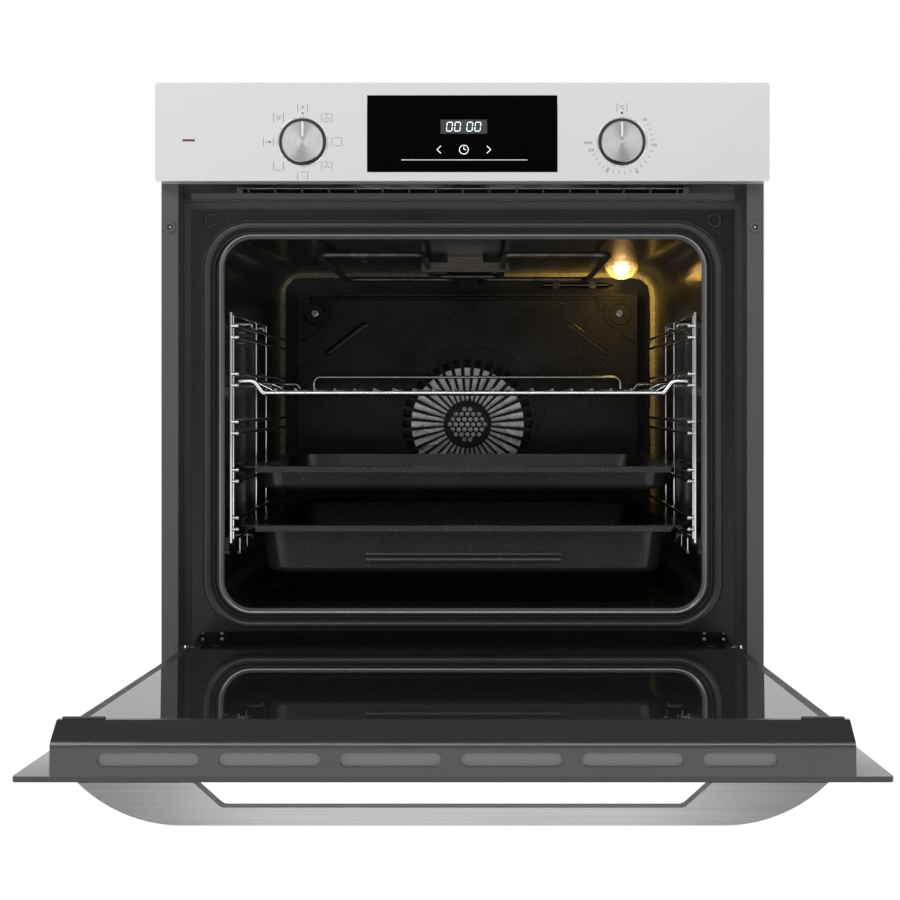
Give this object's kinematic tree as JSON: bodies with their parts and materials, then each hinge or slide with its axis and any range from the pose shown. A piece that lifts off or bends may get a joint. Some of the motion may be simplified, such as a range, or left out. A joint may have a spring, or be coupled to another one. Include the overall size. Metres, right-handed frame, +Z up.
{
  "type": "wall oven",
  "caption": "Built-in oven with a glossy control panel, push-in knobs, display, drop-down glass door with bow handle, side racks, shelf, trays and fan.",
  "frame": {"origin": "underside of the base plate, in the middle of the width, on the plane of the cabinet front that the side strips rest on", "axes": "+X to the right seen from the front, +Y into the cabinet, +Z up"},
  "size_m": [0.595, 1.0295, 0.595],
  "materials": {
    "galvanised": "galvanised sheet, faint spangle",
    "zinc_screw": "zinc-plated",
    "black_plastic": "moulded, fine matt grain",
    "white_ceramic": "unglazed steatite",
    "grey_paint": "dark grey satin powder coat",
    "dark_enamel": "gloss vitreous enamel, dark grey with fine white specks",
    "black_seal": "satin silicone seal",
    "mineral_wool": "compressed mineral wool",
    "motor_steel": "plain stamped steel",
    "chrome_wire": "bright chrome plating",
    "fan_aluminium": "plain stamped aluminium",
    "heater_steel": "oxidised stainless tube",
    "bright_steel": "bright stainless",
    "lamp_filament": "lit bulb",
    "lamp_glass": "clear pressed glass",
    "tray_enamel": "gloss vitreous enamel, near black with fine specks",
    "pearl_panel": "high-gloss light grey",
    "chrome_ring": "polished",
    "display_glass": "black printed glass, polished",
    "pilot_lens": "dark red lens",
    "switch_plastic": "moulded, natural",
    "spun_aluminium": "turned face, fine circular lines",
    "outer_door_glass": "light printed border round a dark window, polished",
    "clear_glass": "clear, heat reflecting",
    "inner_door_glass": "dark reflecting glass",
    "dark_steel": "black-coated sheet",
    "trim_paint": "dark grey satin coat",
    "mesh_steel": "fine woven mesh",
    "brushed_handle": "long-grain brushed stainless"
  },
  "bodies": {
    "housing": {"base_plate": "galvanised", "side_panels": "galvanised", "top_cover": "galvanised", "back_cover": "galvanised", "back_screws": "zinc_screw", "cable_inlet": "black_plastic", "terminal_block": "white_ceramic", "front_frame": "grey_paint", "lower_panel": "dark_enamel", "cavity_liner": "dark_enamel", "door_gasket": "black_seal", "insulation": "mineral_wool", "air_duct": "galvanised", "outlet_grille": "grey_paint", "blower_housing": "galvanised", "blower_motor": "motor_steel", "fan_cover": "dark_enamel", "cavity_fasteners": "chrome_wire", "convection_motor": "motor_steel", "ring_heater": "heater_steel", "grill_element": "heater_steel", "element_brackets": "bright_steel", "lower_element": "heater_steel", "temperature_probe": "bright_steel", "lamp_socket": "white_ceramic", "lamp_bulb": "lamp_filament", "lamp_glass": "lamp_glass", "side_racks": "chrome_wire", "control_fascia": "pearl_panel", "knob_wells": "black_plastic", "knob_bezels": "chrome_ring", "display_glass": "display_glass", "display_module": "black_plastic", "pilot_lamp": "pilot_lens", "control_bracket": "galvanised", "function_switch": "switch_plastic", "thermostat": "bright_steel", "hinge_receivers": "bright_steel", "hinge_arms": "bright_steel"},
    "door": {"outer_glass": "outer_door_glass", "middle_glass": "clear_glass", "inner_glass": "inner_door_glass", "door_rails": "dark_steel", "door_trim": "trim_paint", "trim_mesh": "mesh_steel", "handle": "brushed_handle", "handle_screws": "zinc_screw", "hinge_bodies": "bright_steel", "hinge_pins": "bright_steel"},
    "function_spindle": {"function_spindle": "bright_steel"},
    "function_knob": {"function_knob": "black_plastic", "function_knob_face": "spun_aluminium"},
    "thermostat_spindle": {"thermostat_spindle": "bright_steel"},
    "thermostat_knob": {"thermostat_knob": "black_plastic", "thermostat_knob_face": "spun_aluminium"},
    "wire_shelf": {"wire_shelf": "chrome_wire"},
    "shallow_tray": {"shallow_tray": "tray_enamel"},
    "deep_tray": {"deep_tray": "tray_enamel"},
    "convection_fan": {"convection_fan": "fan_aluminium"},
    "blower_wheel": {"blower_wheel": "black_plastic"}
  },
  "joints": [
    {"name": "door_hinge", "type": "hinge", "parent": "housing", "child": "door", "pos_m": [0, -0.008, 0.028], "axis": [-1, 0, 0], "range_deg": [0, 88]},
    {"name": "function_turn", "type": "hinge", "parent": "housing", "child": "function_spindle", "pos_m": [-0.1545, 0, 0.5375], "axis": [0, 1, 0], "continuous": true},
    {"name": "function_push", "type": "slide", "parent": "function_spindle", "child": "function_knob", "axis": [0, -1, 0], "range_m": [0, 0.018]},
    {"name": "thermostat_turn", "type": "hinge", "parent": "housing", "child": "thermostat_spindle", "pos_m": [0.1545, 0, 0.5375], "axis": [0, 1, 0], "range_deg": [0, 270]},
    {"name": "thermostat_push", "type": "slide", "parent": "thermostat_spindle", "child": "thermostat_knob", "axis": [0, -1, 0], "range_m": [0, 0.018]},
    {"name": "shelf_slide", "type": "slide", "parent": "housing", "child": "wire_shelf", "axis": [0, 1, 0], "range_m": [-0.3, 0]},
    {"name": "shallow_tray_slide", "type": "slide", "parent": "housing", "child": "shallow_tray", "axis": [0, 1, 0], "range_m": [-0.3, 0]},
    {"name": "deep_tray_slide", "type": "slide", "parent": "housing", "child": "deep_tray", "axis": [0, 1, 0], "range_m": [-0.3, 0]},
    {"name": "convection_spin", "type": "hinge", "parent": "housing", "child": "convection_fan", "pos_m": [0, 0.46, 0.2566], "axis": [0, 1, 0], "continuous": true},
    {"name": "blower_spin", "type": "hinge", "parent": "housing", "child": "blower_wheel", "pos_m": [0, 0.41, 0.52], "axis": [0, 0, 1], "continuous": true}
  ]
}
